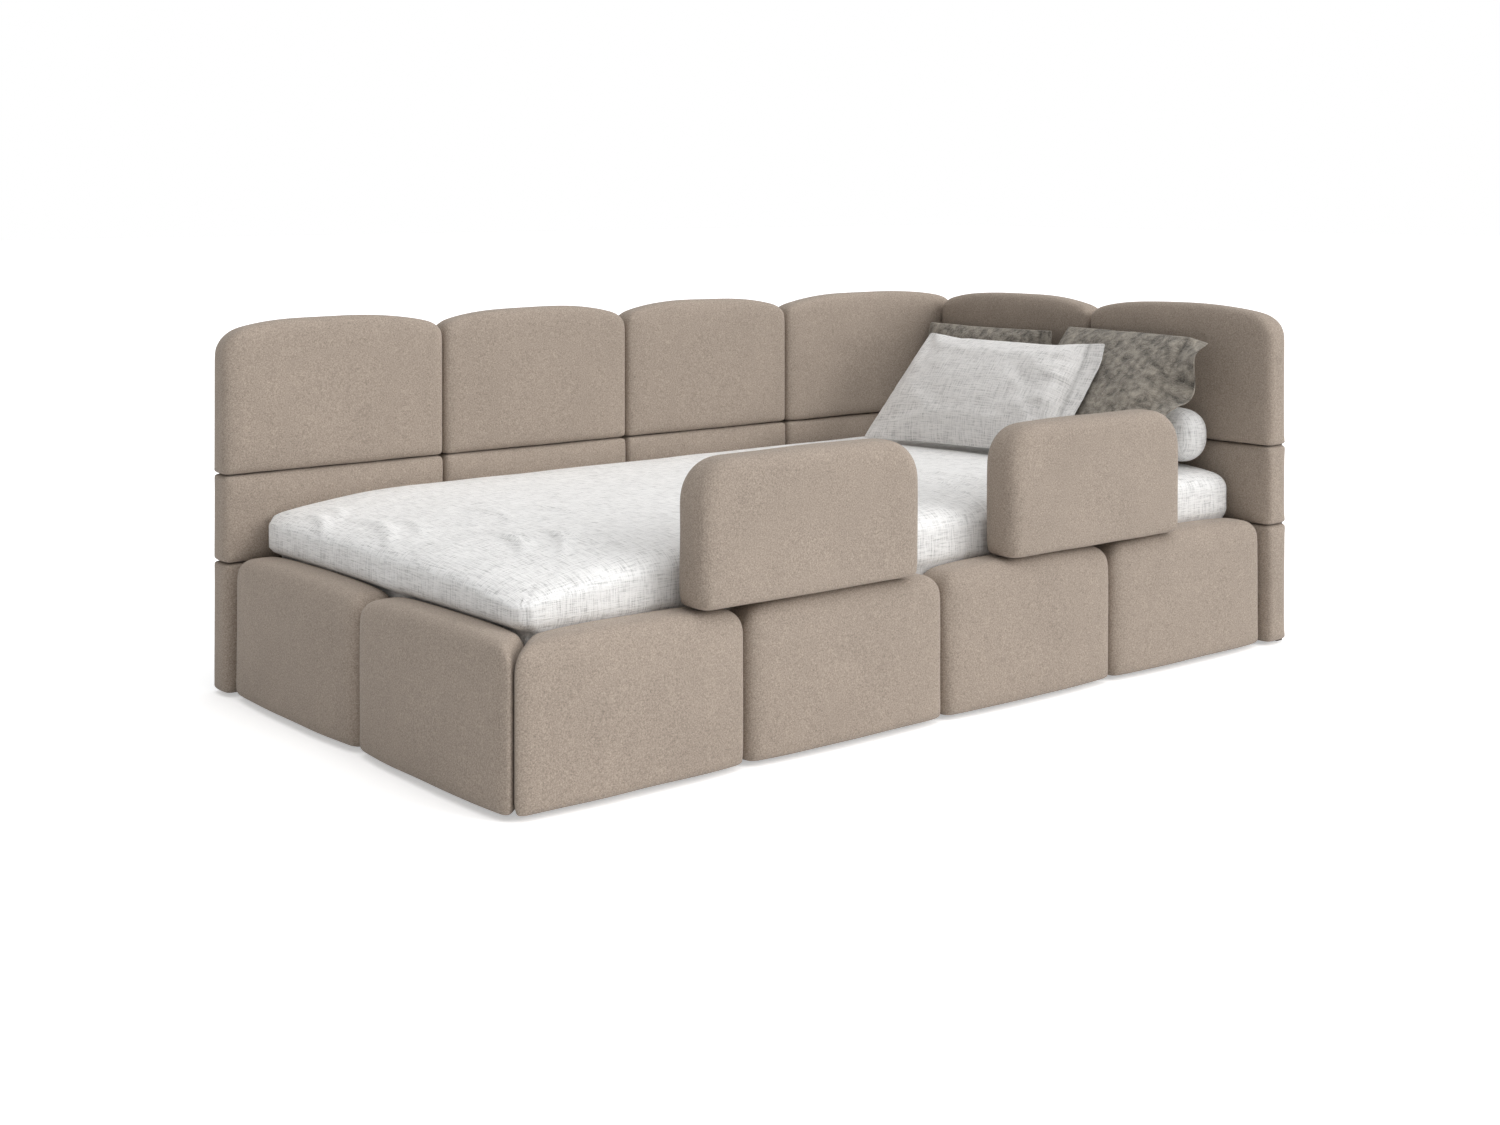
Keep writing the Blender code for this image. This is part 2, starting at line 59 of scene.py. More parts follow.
# %% Camera
camera_data = bpy.data.cameras.new("camera")
camera_data.lens = 47.6
camera_data.sensor_width = 36.0
camera_data.shift_y = -0.2498
camera = bpy.data.objects.new("camera", camera_data)
camera.location = (-2.3405, -2.7805, 0.875)
camera.rotation_euler = (math.radians(90.0), 0.0, math.radians(-39.27))
bpy.context.scene.collection.objects.link(camera)
bpy.context.scene.camera = camera


# %% Lights
def add_lamp(name, place, spread, strength):
    """A soft, even light from that side. spread is the angle that it fills, in degrees."""
    data = bpy.data.lights.new(name, "SUN")
    data.angle = math.radians(spread)
    data.energy = strength
    lamp = bpy.data.objects.new(name, data)
    lamp.location = place
    lamp.rotation_euler = Vector(place).to_track_quat("Z", "Y").to_euler()
    bpy.context.scene.collection.objects.link(lamp)


add_lamp("key", (2.2, -3.2, 1.7), 38.0, 1.60)
add_lamp("top", (0.2, -0.6, 3.6), 70.0, 1.55)

# %% Room
# The walls of the room glow evenly: bright where the camera sees them, and dimmer as a
# source of light, so that the lamps still shape the pads.
ROOM_LIGHT = 0.34
ROOM_SEEN = 1.0
world = bpy.data.worlds.new("soft_room")
world.use_nodes = True
room = world.node_tree
background = room.nodes["Background"]
background.inputs["Color"].default_value = (1.0, 1.0, 1.0, 1.0)
seen = room.nodes.new("ShaderNodeLightPath")
glow = room.nodes.new("ShaderNodeMapRange")
glow.inputs["To Min"].default_value = ROOM_LIGHT
glow.inputs["To Max"].default_value = ROOM_SEEN
room.links.new(seen.outputs["Is Camera Ray"], glow.inputs["Value"])
room.links.new(glow.outputs["Result"], background.inputs["Strength"])
bpy.context.scene.world = world
bpy.context.scene.view_settings.view_transform = "Standard"

# %% [markdown]
# ## Materials
# A node tree is easier to read when each effect is a group with named sockets. These
# helpers add a node, link it, and open a new group. Groups hand out only values; every
# material keeps its own Principled shader, with sheen typed straight into it.


# %% Node helpers
def new_group(name, inputs, outputs):
    """A shader node group. inputs and outputs are {socket name: (kind, default)}."""
    group = bpy.data.node_groups.new(name, "ShaderNodeTree")
    for sockets, side in ((inputs, "INPUT"), (outputs, "OUTPUT")):
        for socket_name, (kind, default) in sockets.items():
            socket = group.interface.new_socket(
                name=socket_name, in_out=side, socket_type="NodeSocket" + kind)
            if default is not None:
                socket.default_value = default
    return group, group.nodes.new("NodeGroupInput"), group.nodes.new("NodeGroupOutput")


def add_node(tree, kind, values=None, **settings):
    """Adds a node. settings go on the node, and values on its input sockets."""
    node = tree.nodes.new("ShaderNode" + kind)
    for key, value in settings.items():
        setattr(node, key, value)
    for key, value in (values or {}).items():
        node.inputs[key].default_value = value
    return node


def link(tree, source, target):
    tree.links.new(source, target)


def math_node(tree, operation, first, second):
    """A Math node whose two inputs are sockets or numbers."""
    node = add_node(tree, "Math", operation=operation)
    for index, value in enumerate((first, second)):
        if isinstance(value, (int, float)):
            node.inputs[index].default_value = value
        else:
            link(tree, value, node.inputs[index])
    return node.outputs[0]


def noise_node(tree, vector, scale, detail=2.0, rough=0.5, distortion=0.0):
    node = add_node(tree, "TexNoise", {"Detail": detail, "Roughness": rough,
                                       "Distortion": distortion})
    link(tree, vector, node.inputs["Vector"])
    if isinstance(scale, (int, float)):
        node.inputs["Scale"].default_value = scale
    else:
        link(tree, scale, node.inputs["Scale"])
    return node.outputs["Fac"]


def stretched(tree, vector, scale):
    """The vector with its axes scaled, so that a pattern runs long one way."""
    node = add_node(tree, "Mapping", {"Scale": scale})
    link(tree, vector, node.inputs["Vector"])
    return node.outputs["Vector"]


def use_group(tree, group, **values):
    node = tree.nodes.new("ShaderNodeGroup")
    node.node_tree = group
    for key, value in values.items():
        node.inputs[key.replace("_", " ")].default_value = value
    return node


# %% [markdown]
# ### Pile
# Velour is a knitted cloth with a short brushed pile. Close up it is a fine grain of fibre
# ends; from afar the pile lies a little differently from place to place, which gives soft
# lighter and darker drifts. One group makes both, from three sizes of noise, and the
# crushed velvet uses the same group with stronger drifts.


# %% The pile group
def make_pile_group():
    group, source, result = new_group(
        "brushed_pile",
        {"Vector": ("Vector", None), "Drift Scale": ("Float", 7.0),
         "Drift Amount": ("Float", 0.10), "Patch Scale": ("Float", 45.0),
         "Patch Amount": ("Float", 0.07), "Grain Amount": ("Float", 1.3)},
        {"Tone": ("Float", None), "Fibre Height": ("Float", None)})
    vector = source.outputs["Vector"]
    drift = noise_node(group, vector, source.outputs["Drift Scale"], 3.0, 0.55, 0.4)
    patch = noise_node(group, vector, source.outputs["Patch Scale"], 4.0, 0.6, 0.3)
    tufts = noise_node(group, vector, 420.0, 3.0, 0.75)
    fibres = noise_node(group, vector, 1100.0, 2.0, 0.7)
    grain = math_node(group, "ADD", math_node(group, "MULTIPLY", tufts, 0.65),
                      math_node(group, "MULTIPLY", fibres, 0.35))
    total = None
    for field, amount in ((drift, "Drift Amount"), (patch, "Patch Amount"),
                          (grain, "Grain Amount")):
        centred = math_node(group, "SUBTRACT", field, 0.5)
        part = math_node(group, "MULTIPLY", centred, source.outputs[amount])
        total = part if total is None else math_node(group, "ADD", total, part)
    tone = math_node(group, "ADD", math_node(group, "MULTIPLY", total, 2.0), 1.0)
    crush = math_node(group, "MULTIPLY", patch, source.outputs["Patch Amount"])
    link(group, tone, result.inputs["Tone"])
    link(group, math_node(group, "ADD", grain, math_node(group, "MULTIPLY", crush, 2.5)),
         result.inputs["Fibre Height"])
    return group


PILE = make_pile_group()


# %% [markdown]
# ### Weave
# Linen is woven from uneven threads. Each thread has thick places, called slubs, so the
# cloth shows fine streaks along both thread directions. Noise stretched along the first
# and along the second direction of the cloth gives them; it needs a UV map that lies on
# the piece as the cloth does, since stretched noise in space would cut across the sides.


# %% The weave group
def streaks(group, vector, long_way, fine):
    """Streaks along both cloth directions: the sum of two noises about zero."""
    total = None
    for scale, shift in (((long_way, fine, 1.0), 3.0), ((fine, long_way, 1.0), 8.0)):
        mapping = add_node(group, "Mapping", {"Scale": scale, "Location": (0.0, 0.0, shift)})
        link(group, vector, mapping.inputs["Vector"])
        field = noise_node(group, mapping.outputs["Vector"], 1.0, 2.0, 0.6)
        total = field if total is None else math_node(group, "ADD", total, field)
    return math_node(group, "SUBTRACT", total, 1.0)


def make_weave_group():
    group, source, result = new_group(
        "slub_weave",
        {"Vector": ("Vector", None), "Slub Amount": ("Float", 0.5),
         "Cloud Amount": ("Float", 0.1)},
        {"Tone": ("Float", None), "Thread Height": ("Float", None)})
    vector = source.outputs["Vector"]
    threads = streaks(group, vector, 50.0, 760.0)
    slubs = streaks(group, vector, 20.0, 360.0)
    both = math_node(group, "ADD", math_node(group, "MULTIPLY", threads, 0.6),
                     math_node(group, "MULTIPLY", slubs, 0.6))
    strong = math_node(group, "MULTIPLY", both, source.outputs["Slub Amount"])
    slubbed = math_node(group, "MINIMUM", strong, 0.07)
    cloud = math_node(group, "SUBTRACT", noise_node(group, vector, 16.0, 4.0, 0.6), 0.5)
    clouded = math_node(group, "MULTIPLY", cloud, source.outputs["Cloud Amount"])
    tone = math_node(group, "ADD", math_node(group, "ADD", slubbed, clouded), 1.0)
    link(group, tone, result.inputs["Tone"])
    link(group, both, result.inputs["Thread Height"])
    return group


WEAVE = make_weave_group()


# %% [markdown]
# ### Materials from the groups
# Every material starts from a base colour that its group's tone makes lighter or darker,
# and takes its fine relief from the group's height. The vector is Object coordinates on
# the pads, and the piece's own cloth map on the sheet and the pillows, whose threads lean
# with them.


# %% Material helper
def toned_material(name, colour, roughness, slot_values=None):
    """A Principled material whose base colour waits for a tone: (material, shader, mix)."""
    material = bpy.data.materials.new(name)
    material.use_nodes = True
    tree = material.node_tree
    shader = tree.nodes["Principled BSDF"]
    shader.inputs["Roughness"].default_value = roughness
    for key, value in (slot_values or {}).items():
        shader.inputs[key].default_value = value
    mix = add_node(tree, "VectorMath", operation="SCALE")
    mix.inputs[0].default_value = colour
    link(tree, mix.outputs[0], shader.inputs["Base Color"])
    material.diffuse_color = (*colour, 1.0)
    return material, shader, mix


def coordinates(tree, uv_map=""):
    """Object coordinates, or the named UV map."""
    if uv_map:
        return add_node(tree, "UVMap", uv_map=uv_map).outputs["UV"]
    return add_node(tree, "TexCoord").outputs["Object"]


def relief(tree, shader, height, distance, strength=1.0):
    bump = add_node(tree, "Bump", {"Distance": distance, "Strength": strength})
    link(tree, height, bump.inputs["Height"])
    link(tree, bump.outputs["Normal"], shader.inputs["Normal"])


# %% Cloth materials
def cloth_material(name, colour, group, distance, roughness, sheen, uv_map="", **amounts):
    material, shader, mix = toned_material(
        name, colour, roughness,
        {"Sheen Weight": sheen, "Sheen Roughness": 0.45, "Specular IOR Level": 0.25})
    tree = material.node_tree
    effect = use_group(tree, group, **amounts)
    link(tree, coordinates(tree, uv_map), effect.inputs["Vector"])
    tone = effect.outputs["Tone"]
    if uv_map:
        # Painted shade: the cloth's colour is darkened along the seam attribute, where the
        # furrow of a sewn seam lies.
        seam = add_node(tree, "Attribute", attribute_name=SEAM).outputs["Fac"]
        shade = math_node(tree, "MULTIPLY", math_node(tree, "POWER", seam, 2.0), -SEAM_PAINTED_SHADE)
        tone = math_node(tree, "MULTIPLY", tone, math_node(tree, "ADD", shade, 1.0))
    link(tree, tone, mix.inputs["Scale"])
    relief(tree, shader, effect.outputs[1], distance)
    return material


CLOTH_UV = "cloth"
SEAM = "seam"
# Painted shade: the share by which the colour is darkened along the furrow of a sewn seam.
SEAM_PAINTED_SHADE = 0.30  # how dark the furrow of a sewn seam looks
VELOUR = cloth_material("taupe_velour", (0.367, 0.304, 0.251), PILE, 0.0008, 0.92, 0.12)
SHEETING = cloth_material("white_linen", (0.88, 0.875, 0.865), WEAVE, 0.0012, 0.85, 0.08,
                          CLOTH_UV, Slub_Amount=1.5, Cloud_Amount=0.08)
GREY_LINEN = cloth_material("grey_linen", (0.82, 0.805, 0.79), WEAVE, 0.0012, 0.85, 0.10,
                            CLOTH_UV, Slub_Amount=1.5, Cloud_Amount=0.10)
CRUSHED_VELVET = cloth_material("crushed_velvet", (0.300, 0.270, 0.229), PILE, 0.0020, 0.75,
                                0.25, CLOTH_UV, Drift_Scale=12.0, Drift_Amount=0.60,
                                Patch_Scale=55.0, Patch_Amount=1.50, Grain_Amount=1.2)
TICKING = cloth_material("ticking", (0.76, 0.75, 0.73), PILE, 0.0006, 0.8, 0.05,
                         Grain_Amount=0.4)
LINING = cloth_material("board_lining", (0.115, 0.098, 0.083), PILE, 0.0004, 0.9, 0.1,
                        Grain_Amount=0.8)

# %% [markdown]
# ### Pine and powder-coated steel
# Planed pine shows long early and late growth lines, so a noise is stretched along each
# slat. Powder coat melts into a skin with a fine orange peel, which is a small round noise
# in the relief and nearly nothing in the colour.


# %% Pine and steel
def make_pine(along):
    """Pine whose growth lines run along that axis of the bed, 0 for X and 1 for Y."""
    scale = [62.0, 62.0, 62.0]
    scale[along] = 2.2
    material, shader, mix = toned_material(
        f"pine_along_{'xy'[along]}", (0.62, 0.43, 0.25), 0.62, {"Specular IOR Level": 0.35})
    tree = material.node_tree
    place = coordinates(tree)
    lines = noise_node(tree, stretched(tree, place, scale), 1.0, 4.0, 0.55, 0.6)
    pores = noise_node(tree, stretched(tree, place, [8.0 * value for value in scale]), 1.0)
    tone = math_node(tree, "ADD", math_node(tree, "MULTIPLY", lines, 0.55),
                     math_node(tree, "MULTIPLY", pores, 0.18))
    link(tree, math_node(tree, "ADD", tone, 0.62), mix.inputs["Scale"])
    relief(tree, shader, pores, 0.0004)
    return material


def make_steel():
    material, shader, mix = toned_material("black_steel", (0.022, 0.022, 0.023), 0.42,
                                           {"Specular IOR Level": 0.5})
    tree = material.node_tree
    place = coordinates(tree)
    peel = noise_node(tree, place, 420.0, 2.0)
    wear = noise_node(tree, place, 24.0, 4.0)
    link(tree, math_node(tree, "ADD", math_node(tree, "MULTIPLY", wear, 0.5), 0.75),
         mix.inputs["Scale"])
    link(tree, math_node(tree, "ADD", math_node(tree, "MULTIPLY", wear, 0.2), 0.34),
         shader.inputs["Roughness"])
    relief(tree, shader, peel, 0.0003, 0.6)
    return material


PINE_X = make_pine(0)
PINE_Y = make_pine(1)
STEEL = make_steel()


# %% Dress the pieces that keep their shape
def dress(name, material):
    piece = NODES[name]
    piece.data.materials.clear()
    piece.data.materials.append(material)


for node_name in NODES:
    if node_name.endswith("_board") or node_name.startswith("guard_core"):
        dress(node_name, LINING)
    elif node_name.startswith("slat_"):
        dress(node_name, PINE_Y)
    elif node_name.endswith("_ledge"):
        dress(node_name, PINE_X)
    elif "socket" in node_name or "tongue" in node_name or "bracket" in node_name:
        dress(node_name, STEEL)

# %% [markdown]
# ## Soft blocks
# A foam pad is a block whose every edge is rolled by the cloth pulled over it. It could be
# a cube with a Bevel modifier, but a bevel has one width, and here the free ends, the tops
# and the pressed seams all roll differently. So the cube is cut into a lattice, close at
# its rims and wide in the middle, and its points are moved: first each outline corner is
# turned into an arc, then each rim between face and side is rolled, then the face is
# crowned. A pad is described as it stands with its face towards -Y.


# %% Lattice
RIM_SHARE = 0.80  # how strongly the cells crowd towards the rims, from 0 to 1


def cut_cells(shape, axis, count):
    """Cuts the cube into count layers along that axis."""
    along = [edge for edge in shape.edges
             if abs(edge.verts[0].co[axis] - edge.verts[1].co[axis]) > 1.0]
    bmesh.ops.subdivide_edges(shape, edges=along, cuts=count - 1, use_grid_fill=True)


def quarter_turn(shape, axis):
    """Turns the shape clockwise by a quarter turn about that axis."""
    turn = Matrix.Rotation(math.radians(-90), 3, axis)
    bmesh.ops.rotate(shape, verts=shape.verts[:], matrix=turn)


def place_at(shape, point):
    bmesh.ops.translate(shape, verts=shape.verts[:], vec=point)


def lattice_block(width, depth, height, cells, rim_share=RIM_SHARE):
    """A closed block of cells of that size, cut closer at its rims."""
    shape = bmesh.new()
    bmesh.ops.create_cube(shape, size=2.0)
    for axis, count in enumerate(cells):
        cut_cells(shape, axis, count)
    reach = math.pi / 2 * rim_share
    half = (width / 2, depth / 2, height / 2)
    for vert in shape.verts:
        for axis in range(3):
            eased = math.sin(vert.co[axis] * reach) / math.sin(reach)
            vert.co[axis] = eased * half[axis]
    return shape


# %% Rolling a corner
def onto_arc(first, second, reach_first, reach_second):
    """Moves a point near the corner of two sides onto concentric quarter ellipses.

    first and second are its distances from the two sides, and the reaches are the
    ellipse's half axes. Points beyond either reach stay where they are.
    """
    over_first = 1.0 - first / reach_first
    over_second = 1.0 - second / reach_second
    if over_first <= 0.0 or over_second <= 0.0:
        return first, second
    ring = max(over_first, over_second)
    length = math.hypot(over_first, over_second)
    return (reach_first * (1.0 - over_first / length * ring),
            reach_second * (1.0 - over_second / length * ring))


# %% Roll and crown
CROWN_POWER = 2.6
NEAR_SIDE = 0.004  # a point much closer than this to one side takes that side's roll
ARCH_POWER = 3.0  # a high power keeps the middle of an arched top level
SHARP = 0.0005  # a roll smaller than this is left sharp


class PadForm:
    """How the edges of one pad are rolled. front and back are (left, right, bottom, top)."""

    def __init__(self, corners, front, back, front_drop, back_drop, arch, crown,
                 crown_power=CROWN_POWER):
        # corners are the outline radii: bottom left, bottom right, top left, top right
        self.corners = corners
        self.front = front  # how far each rim roll reaches over the face
        self.back = back
        self.front_drop = front_drop  # how deep the rolls reach at the face
        self.back_drop = back_drop
        self.arch = arch
        self.crown = crown
        self.crown_power = crown_power  # a high power carries the crown on to the lower rim


def side_values(values, from_side, from_end, left, low):
    """The roll at a point: a blend of the two nearest sides, ruled by the nearer one."""
    side_share = (from_side + NEAR_SIDE) ** -2
    end_share = (from_end + NEAR_SIDE) ** -2
    across = values[0] if left else values[1]
    upward = values[2] if low else values[3]
    return (across * side_share + upward * end_share) / (side_share + end_share)


def roll_pad(shape, width, depth, height, form):
    """Rolls and crowns a lattice block in place."""
    for vert in shape.verts:
        left, low = vert.co.x < 0, vert.co.z < 0
        from_side = width / 2 - abs(vert.co.x)
        from_end = height / 2 - abs(vert.co.z)
        radius = form.corners[(0 if left else 1) + (0 if low else 2)]
        inset = min(from_side, from_end)
        for sign, reaches, drop in ((-1, form.front, form.front_drop),
                                    (1, form.back, form.back_drop)):
            below = depth / 2 - sign * vert.co.y
            reach = side_values(reaches, max(0.0, from_side), max(0.0, from_end), left, low)
            if reach <= SHARP:
                continue
            new_inset, new_below = onto_arc(inset, below, reach, min(drop, depth / 2))
            vert.co.y = sign * (depth / 2 - new_below)
            shift = new_inset - inset
            inset = new_inset
            if from_side <= from_end:
                from_side += shift
                from_end = max(from_end, from_side)
            else:
                from_end += shift
                from_side = max(from_side, from_end)
        from_side, from_end = onto_arc(from_side, from_end, radius, radius)
        vert.co.x = (from_side - width / 2) * (1 if left else -1)
        vert.co.z = (from_end - height / 2) * (1 if low else -1)
    for vert in shape.verts:
        u = vert.co.x / (width / 2)
        v = vert.co.z / (height / 2)
        held_below = form.crown_power if v < 0 else CROWN_POWER
        rise = (1.0 - abs(u) ** CROWN_POWER) * (1.0 - abs(v) ** held_below)
        if vert.co.y < 0:
            vert.co.y -= form.crown * max(0.0, rise) * (-vert.co.y / (depth / 2))
        if v > 0:
            vert.co.z -= form.arch * abs(u) ** ARCH_POWER * v


# %% [markdown]
# ## From shape to piece
# Real foam is never perfectly even, so a very low noise moves each face by under a
# millimetre. Seam sides are left alone: there two pads press flat against each other. The
# finished piece gets one subdivision, its material, and rides on the frame.


# %% Finish a piece
UNEVEN = 0.0012  # the depth of a foam pad's unevenness
UNEVEN_SCALE = 9.0


def soften(shape, seed, amount=UNEVEN, scale=UNEVEN_SCALE, keep_sides=None):
    """A slow, shallow unevenness along the normals. Beyond keep_sides nothing moves."""
    shape.normal_update()
    for vert in shape.verts:
        if keep_sides is not None and abs(vert.co.x) > keep_sides:
            continue
        lift = noise.noise(vert.co * scale + Vector((seed * 7.3, seed * 3.1, 0.0)))
        vert.co += vert.normal * (lift * amount)


def make_piece(name, shape, material, body, nodes=(), levels=1):
    """Turns the bmesh into a smooth piece that rides on the body."""
    mesh = bpy.data.meshes.new(name)
    bmesh.ops.recalc_face_normals(shape, faces=shape.faces[:])
    shape.to_mesh(mesh)
    shape.free()
    mesh.materials.append(material)
    mesh.polygons.foreach_set("use_smooth", [True] * len(mesh.polygons))
    piece = bpy.data.objects.new(name, mesh)
    bpy.context.scene.collection.objects.link(piece)
    if levels:
        smooth = piece.modifiers.new("smooth", "SUBSURF")
        smooth.levels = levels
        smooth.render_levels = levels
    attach(piece, body)
    if nodes:
        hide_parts(*nodes)
    return piece


# %% [markdown]
# ## The pads of the rails and the walls
# Each pad fills the box of the foam block that it replaces. The box is read from the
# frame, so a pad moves with the frame if a size changes. Pads on the front look towards
# -Y, as they are made; pads on the foot and the head are turned to look towards -X.

# %% Boards behind the pads
BACK_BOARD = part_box("back_wall_board")
HEAD_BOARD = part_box("head_wall_board")
FRONT_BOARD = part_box("front_rail_board")
FOOT_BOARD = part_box("foot_rail_board")
FIT = 0.0006  # the room left between a pad's back and its board
BOARD_MARGIN = 0.004  # how far past a board's rim the pad is still pressed flat
SEAM_SIDE = 0.006  # the pressed rim at a pad's ends that stays even


def clear_board(shape, board, axis):
    """Presses the pad's back flat in front of the board that it is glued to."""
    low, high = board
    other = 1 - axis
    limit = low[axis] - FIT
    for vert in shape.verts:
        point = vert.co
        within = (low[other] - BOARD_MARGIN < point[other] < high[other] + BOARD_MARGIN
                  and point.z < high[2] + BOARD_MARGIN)
        if within and point[axis] > limit:
            point[axis] = limit


def add_pad(node, form, facing, boards, cells, seed, mitre=None):
    """Makes the soft pad that stands for a foam block."""
    low, high = (Vector(corner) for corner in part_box(node))
    across = high.x - low.x if facing == "front" else high.y - low.y
    depth = high.y - low.y if facing == "front" else high.x - low.x
    height = high.z - low.z
    depth -= form.crown
    shape = lattice_block(across, depth, height, cells)
    roll_pad(shape, across, depth, height, form)
    soften(shape, seed, keep_sides=across / 2 - SEAM_SIDE)
    if facing == "foot":
        quarter_turn(shape, "Z")
    middle = (low + high) / 2
    if facing == "front":
        middle.y = high.y - depth / 2
    else:
        middle.x = high.x - depth / 2
    place_at(shape, middle)
    for board, axis in boards:
        clear_board(shape, board, axis)
    if mitre:
        mitre(shape, low, high)
    piece = make_piece(node.replace("_pad", "_cushion"), shape, VELOUR, "root",
                       [node])
    return piece


# %% Low rail pads
RAIL_CELLS = (26, 8, 16)
RAIL_CORNER = 0.035
RAIL_FOOT_CORNER = 0.016
RAIL_FORM = PadForm((RAIL_FOOT_CORNER, RAIL_FOOT_CORNER, RAIL_CORNER, RAIL_CORNER),
                    (0.028, 0.028, 0.012, 0.034), (0.0, 0.0, 0.0, 0.018),
                    front_drop=0.020, back_drop=0.020, arch=0.008, crown=0.010,
                    crown_power=60.0)


def mitre_front(shape, low, high):
    """The end by the foot corner runs back at 45 degrees behind the corner seam."""
    depth = high.y - FRONT_BOARD[1][1]
    for vert in shape.verts:
        behind = max(0.0, vert.co.y - SEAM_CORNER.y)
        share = max(0.0, 1.0 - (vert.co.x - low.x) / (high.x - low.x))
        vert.co.x += (behind + depth) * share ** 3


def mitre_foot(shape, low, high):
    """The foot pad's end runs back from the same seam."""
    for vert in shape.verts:
        behind = max(0.0, vert.co.x - SEAM_CORNER.x)
        share = max(0.0, 1.0 - (vert.co.y - low.y) / (high.y - low.y))
        vert.co.y += behind * share ** 3


SEAM_CORNER = Vector((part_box("front_pad_1")[0][0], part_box("foot_pad_1")[0][1], 0.0))
rail_pads = [add_pad(f"front_pad_{index}", RAIL_FORM, "front", [(FRONT_BOARD, 1)],
                     RAIL_CELLS, index, mitre_front if index == 1 else None)
             for index in range(1, 5)]
rail_pads += [add_pad(f"foot_pad_{index}", RAIL_FORM, "foot", [(FOOT_BOARD, 0)],
                      RAIL_CELLS, 10 + index, mitre_foot if index == 1 else None)
              for index in range(1, 3)]
print("rail pads:", len(rail_pads))

# %% Wall pads
FREE_CORNER = 0.042  # top corners, where the pad ends free and where another presses on it
PRESSED_CORNER = 0.026
ROW_CORNER = 0.010
FREE_ROLL = 0.034
PRESSED_ROLL = 0.020
ROW_ROLL = 0.009
FREE_BACK = 0.028
TOP_BACK = 0.030
WALL_BACK_DROP = 0.030
WALL_CROWN = 0.008
WALL_CROWN_POWER = 20.0


def wall_form(level, left_free, right_free):
    """Rolls of a wall pad. A free end is one that no other pad presses against."""
    ends = (left_free, right_free)
    rolls = tuple(FREE_ROLL if free else PRESSED_ROLL for free in ends)
    backs = tuple(FREE_BACK if free else 0.0 for free in ends)
    if level == "top":
        tops = tuple(FREE_CORNER if free else PRESSED_CORNER for free in ends)
        return PadForm((ROW_CORNER, ROW_CORNER) + tops, rolls + (ROW_ROLL, FREE_ROLL),
                       backs + (0.0, TOP_BACK), front_drop=0.014,
                       back_drop=WALL_BACK_DROP, arch=0.024, crown=WALL_CROWN,
                       crown_power=WALL_CROWN_POWER)
    return PadForm((ROW_CORNER,) * 4, rolls + (ROW_ROLL, ROW_ROLL), backs + (0.0, 0.0),
                   front_drop=ROW_ROLL, back_drop=WALL_BACK_DROP, arch=0.0,
                   crown=WALL_CROWN, crown_power=WALL_CROWN_POWER)


wall_pads = []
for level, cells in (("low", (24, 7, 12)), ("middle", (24, 7, 9)), ("top", (28, 8, 16))):
    for index in range(1, 5):
        boards = [(BACK_BOARD, 1)] + ([(HEAD_BOARD, 0)] if index == 4 else [])
        form = wall_form(level, index == 1, index == 4)
        wall_pads.append(add_pad(f"back_{level}_pad_{index}", form, "front", boards, cells,
                                 20 + index))
    for index in range(1, 3):
        # Seen from the foot, a head pad's left end is the one with the larger Y.
        form = wall_form(level, False, index == 1)
        wall_pads.append(add_pad(f"head_{level}_pad_{index}", form, "foot",
                                 [(HEAD_BOARD, 0)], cells, 30 + index))
print("wall pads:", len(wall_pads))

# %% [markdown]
# ## The guards
# A guard is a plywood core in soft foam, the same all round, so both faces are rolled with
# the same radius and its top corners are large arcs. It rides on its own body, because it
# lifts out of the rail with its two steel tongues.

# %% Guards
GUARD_ROLLS = (0.028, 0.028, 0.010, 0.028)
GUARD_FORM = PadForm((0.022, 0.022, 0.066, 0.066), GUARD_ROLLS, GUARD_ROLLS,
                     front_drop=0.026, back_drop=0.026, arch=0.004, crown=0.0)


def add_guard(number):
    node = f"guard_pad_{number}"
    low, high = (Vector(corner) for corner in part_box(node))
    size = high - low
    shape = lattice_block(size.x, size.y, size.z, (28, 10, 18))
    roll_pad(shape, size.x, size.y, size.z, GUARD_FORM)
    soften(shape, 40 + number)
    place_at(shape, (low + high) / 2)
    piece = make_piece(f"guard_cushion_{number}", shape, VELOUR, f"guard_{number}",
                       [node])
    print(piece.name, "size", [round(value, 3) for value in size])


for number in (1, 2):
    add_guard(number)

# %% [markdown]
# ## Mattress and sheet
# The mattress is a foam block with rolled rims. The fitted sheet is pulled over it and
# open underneath: it is the same form, a little larger, with its underside removed and a
# hem left. Its long wrinkles and the seam at each corner are moved into the mesh, and
# Solidify gives it the thickness of cloth.

# %% Mattress
MATTRESS = [Vector(corner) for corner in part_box("mattress")]
SHEET = [Vector(corner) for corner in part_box("fitted_sheet")]
MATTRESS_FORM = PadForm((0.026,) * 4, (0.050, 0.030, 0.032, 0.022), (0.020,) * 4,
                        front_drop=0.032, back_drop=0.020, arch=0.0, crown=0.004)
# How far in from each side the top sags, and how deep: foot, head, front and back.
SAGS = ((0.26, 0.026), (0.10, 0.006), (0.15, 0.014), (0.08, 0.003))
CORNER_SAG = 0.020  # how much deeper still the free corner at the foot sags
CORNER_REACH = 0.30


